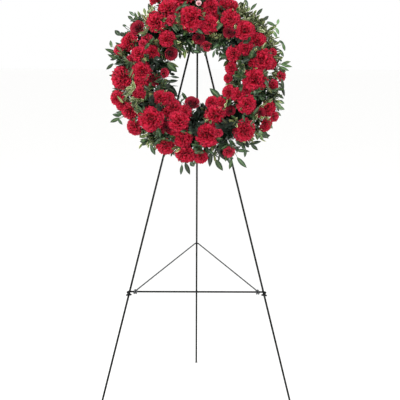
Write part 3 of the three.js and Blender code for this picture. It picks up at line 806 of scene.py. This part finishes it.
# Loose leaves: the broad single leaves that show one by one against the background, each on a stalk
# of its own from the foam. Each row is its stalk end and its tip, right and up from the ring's
# middle, and its width, all in millimetres, and its kind.
LEAF_ROOTS = {"outer": 0.21, "inner": 0.168, "height": 0.045}
STALK_OVERLAP = 0.003
LOOSE_LEAVES = [
    (45, -247, 41, -295, 16, "dark"), (60, -271, 84, -307, 18, "mid"), (113, -271, 106, -303, 13, "mid"),
    (130, -264, 161, -298, 15, "dark"), (125, -241, 171, -243, 12, "dark"),
    (157, -236, 156, -264, 10, "dark"), (168, -222, 210, -210, 13, "dark"),
    (175, -222, 198, -240, 13, "mid"), (212, -195, 239, -193, 15, "mid"),
    (65, -240, 103, -274, 21, "dark"), (75, -70, 41, -41, 20, "dark"),
    (-246, -128, -277, -127, 13, "dark"), (-251, -137, -284, -152, 13, "mid"),
    (-256, -140, -243, -159, 10, "dark"), (-49, -288, -52, -322, 11, "dark"),
    (-38, -281, -23, -320, 15, "mid"), (-21, -279, -9, -294, 16, "dark"),
    (-48, -54, -33, -79, 13, "dark"), (-108, -26, -64, -58, 22, "dark"),
    (-100, -48, -60, -68, 14, "dark"), (-202, 191, -221, 206, 10, "dark"),
    (-188, 180, -219, 177, 11, "dark"), (-251, 129, -268, 148, 16, "dark"),
    (-277, 91, -282, 114, 11, "mid"), (-272, 38, -296, 19, 11, "mid"), (-263, 54, -283, 50, 8, "dark"),
    (-96, 39, -65, 12, 20, "mid"), (-94, 44, -60, 28, 11, "cream"), (-98, 28, -84, 5, 11, "dark"),
    (-99, -21, -62, -14, 12, "dark"), (-85, -2, -58, -6, 8, "dark"), (-89, 6, -72, 5, 10, "dark"),
    (-24, 98, -38, 75, 11, "cream"), (-41, 86, -41, 55, 15, "cream"), (-55, 80, -57, 54, 10, "dark"),
    (-68, 90, -46, 67, 10, "cream"), (258, 166, 264, 187, 9, "pale"), (226, 176, 253, 163, 11, "pale"),
    (253, 156, 266, 136, 11, "pale"), (244, 145, 260, 125, 10, "pale"), (266, 116, 282, 103, 8, "dark"),
    (276, 105, 284, 81, 10, "mid"), (266, 86, 281, 64, 11, "pale"), (257, 73, 273, 47, 11, "mid"),
    (270, 37, 309, 30, 9, "mid"), (274, 40, 304, 47, 8, "pale"), (263, 31, 297, 18, 10, "mid"),
    (266, 28, 283, 8, 8, "mid"), (272, -8, 283, -46, 10, "pale"), (275, -31, 283, -65, 10, "pale"),
    (263, -80, 285, -87, 11, "pale"), (260, -99, 285, -107, 13, "pale"),
    (254, -115, 273, -128, 11, "pale"), (260, -57, 280, -73, 10, "mid"), (162, 223, 153, 249, 11, "dark"),
    (172, 213, 192, 236, 11, "mid"), (192, 197, 211, 220, 11, "mid"), (211, 177, 234, 197, 11, "pale"),
    (28, 81, 24, 64, 8, "dark"), (73, 78, 83, 59, 10, "pale"), (55, 80, 50, 57, 8, "dark"),
    (231, -151, 247, -170, 10, "pale"), (211, -174, 231, -193, 12, "mid"),
    (-184, 185, -193, 208, 10, "cream"), (-167, 195, -174, 218, 11, "cream"),
    (-153, 213, -159, 234, 10, "dark"), (-229, 159, -245, 164, 8, "dark"), (-22, 98, -14, 70, 14, "dark"),
    (0, 100, 4, 72, 13, "mid"), (14, 96, 20, 74, 12, "dark"), (-36, 94, -30, 72, 12, "dark"),
    (62, 84, 66, 65, 10, "dark"), (20, -112, 18, -86, 14, "dark"), (-236, 128, -252, 138, 12, "dark"),
    (-158, -176, -186, -188, 13, "dark"), (-160, -192, -188, -200, 12, "cream"),
    (-150, -226, -136, -257, 14, "dark"), (-166, -212, -186, -214, 12, "dark"),
    (104, -210, 126, -226, 12, "dark"), (118, -238, 141, -229, 11, "dark"),
    (128, -208, 143, -226, 12, "dark"), (-176, -204, -163, -226, 13, "mid"),
    (12, 214, -12, 240, 17, "dark"), (-18, 212, -9, 246, 14, "mid"), (-2, 222, -24, 238, 13, "dark"),
    (-244, 90, -265, 107, 12, "mid"), (150, -210, 168, -232, 13, "dark"),
    (146, -212, 151, -238, 12, "mid"), (138, -204, 160, -222, 12, "dark"), (-18, 82, 14, 75, 13, "dark"),
    (206, -178, 214, -206, 13, "pale"), (214, -184, 232, -202, 12, "pale"),
    (200, -182, 196, -208, 11, "pale"), (254, -86, 274, -103, 13, "pale"),
    (256, -96, 268, -114, 12, "pale"), (212, -46, 224, -74, 14, "dark"), (228, -98, 214, -74, 13, "dark"),
    (210, -66, 222, -92, 12, "mid"), (184, -150, 206, -158, 14, "dark"),
    (182, -166, 206, -172, 12, "dark"), (186, -176, 198, -194, 12, "mid"),
]

# Leaves over flowers: leaves that grow up between the flowers and lie over their edges, written the
# same way. Each lies just clear of the flowers' tops, and its stalk end is at most 8 mm lower.
CLEAR_OF_FLOWER = 3
MOST_DROP = 8
LEAVES_OVER_FLOWERS = [
    (-18, -240, 24, -250, 17, "pale"), (60, -230, 36, -243, 13, "pale"), (-206, 28, -224, 4, 9, "cream"),
    (-204, 14, -222, -14, 9, "olive"), (-202, 0, -210, -26, 9, "cream"), (-212, 32, -232, 22, 8, "mid"),
    (-242, 74, -262, 94, 9, "olive"), (-238, 66, -258, 72, 9, "olive"),
    (-238, -90, -258, -68, 9, "olive"), (-232, -84, -240, -60, 9, "cream"),
    (100, -172, 76, -152, 10, "cream"), (92, -178, 62, -160, 10, "cream"),
    (98, -160, 78, -138, 9, "olive"), (74, -168, 52, -152, 9, "mid"), (158, -142, 178, -124, 9, "olive"),
    (146, -128, 152, -150, 9, "mid"), (-112, -92, -142, -102, 9, "cream"),
    (190, -120, 174, -142, 12, "pale"), (194, -126, 182, -148, 10, "cream"),
    (138, -106, 150, -124, 9, "cream"),
]
FOAM_TOP = 50


def flower_top(x, y):
    """How far the flowers stand off the face at one place on it, in millimetres."""
    spot = FACE @ (Vector((x, y, 0)) / 1000)
    tops = [FOAM_TOP]
    for centre, radius in bloom_spheres:
        gap = centre - spot
        height = gap.dot(face_out)
        aside = (gap - face_out * height).length
        if aside < radius:
            tops.append(1000 * (height + math.sqrt(radius * radius - aside * aside)))
    return max(tops)


random.seed(81)
parts = []
for index, row in enumerate(LOOSE_LEAVES + LEAVES_OVER_FLOWERS):
    base_x, base_y, tip_x, tip_y, width, kind = row
    base_off, tip_off = random.uniform(48, 66), random.uniform(44, 60)
    if index >= len(LOOSE_LEAVES):
        tip_off = flower_top(tip_x, tip_y) + CLEAR_OF_FLOWER
        base_off = max(flower_top(base_x, base_y) + CLEAR_OF_FLOWER, tip_off - MOST_DROP)
    base = FACE @ (Vector((base_x, base_y, base_off)) / 1000)
    tip = FACE @ (Vector((tip_x, tip_y, tip_off)) / 1000)
    along = (tip - base).normalized()
    side = face_out.cross(along).normalized()
    turn = Matrix((side, along.cross(side), along)).transposed().to_4x4()
    stand = Matrix.Translation(base) @ turn @ Matrix.Rotation(random.uniform(-0.5, 0.5), 4, "Z")
    blade = leaf(kind, (tip - base).length, width / 1000, random.uniform(0.1, 0.4),
                 random.uniform(0, 0.15), 0.9, 6)
    root = FACE @ foam_side(base_x, base_y, **LEAF_ROOTS)
    way = base + along * STALK_OVERLAP - root
    parts += [(blade, stand), (TWIG, aim(root, way, 0, way.length / TWIG_END))]
piece_of("loose_leaves", parts, GREENS)
